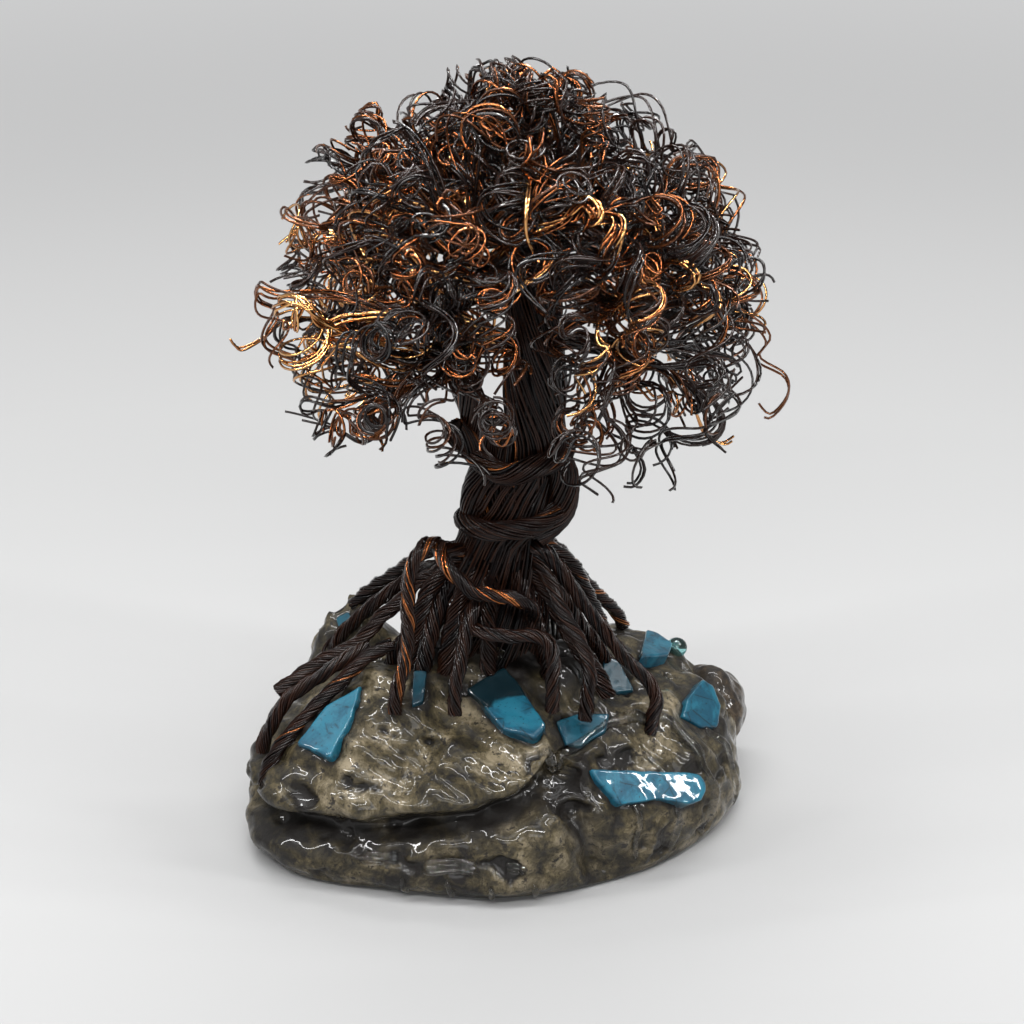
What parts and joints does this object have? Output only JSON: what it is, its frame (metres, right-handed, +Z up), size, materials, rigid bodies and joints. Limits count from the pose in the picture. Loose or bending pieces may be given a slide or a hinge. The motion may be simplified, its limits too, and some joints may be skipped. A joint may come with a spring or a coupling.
{
  "type": "wire tree sculpture",
  "caption": "Tabletop tree of twisted dark wire with a curly wire crown, its rope-like roots gripping a rough stone set with turquoise chunks.",
  "frame": {"origin": "on the flat underside of the stone, below the foot of the trunk", "axes": "+Z up along the tree, +Y from the front to the back, +X to the right seen from the front"},
  "size_m": [0.1639, 0.1383, 0.2368],
  "materials": {
    "stone": "rough mottled stone under a thin coat of clear glossy resin",
    "dark_stone": "dark brown stone under clear glossy resin",
    "turquoise": "veined turquoise blue, wet-looking under clear resin",
    "clear_resin": "clear cast resin, smooth",
    "dark_wire": "dark bronze enamelled copper wire, satin to glossy",
    "copper_wire": "brown and copper-gold enamelled copper wire, glossy"
  },
  "bodies": {
    "root": {"stone_base": "stone", "side_stone": "dark_stone", "clear_bead": "clear_resin", "turquoise_back_lump": "turquoise", "turquoise_back_right": "turquoise", "turquoise_centre_front": "turquoise", "turquoise_front_wedge": "turquoise", "turquoise_left_blade": "turquoise", "turquoise_long_bar": "turquoise", "turquoise_right_face": "turquoise", "turquoise_sliver": "turquoise", "turquoise_under_roots": "turquoise", "trunk_and_roots": "dark_wire", "crown_tuft_01": "copper_wire", "crown_tuft_02": "dark_wire", "crown_tuft_03": "dark_wire", "crown_tuft_04": "copper_wire", "crown_tuft_05": "dark_wire", "crown_tuft_06": "dark_wire", "crown_tuft_07": "copper_wire", "crown_tuft_08": "dark_wire", "crown_tuft_09": "dark_wire", "crown_tuft_10": "copper_wire", "crown_tuft_11": "dark_wire", "crown_tuft_12": "dark_wire", "crown_tuft_13": "copper_wire", "crown_tuft_14": "dark_wire", "crown_tuft_15": "dark_wire", "crown_tuft_16": "copper_wire", "crown_tuft_17": "dark_wire", "crown_tuft_18": "dark_wire", "crown_tuft_19": "copper_wire"}
  },
  "joints": []
}
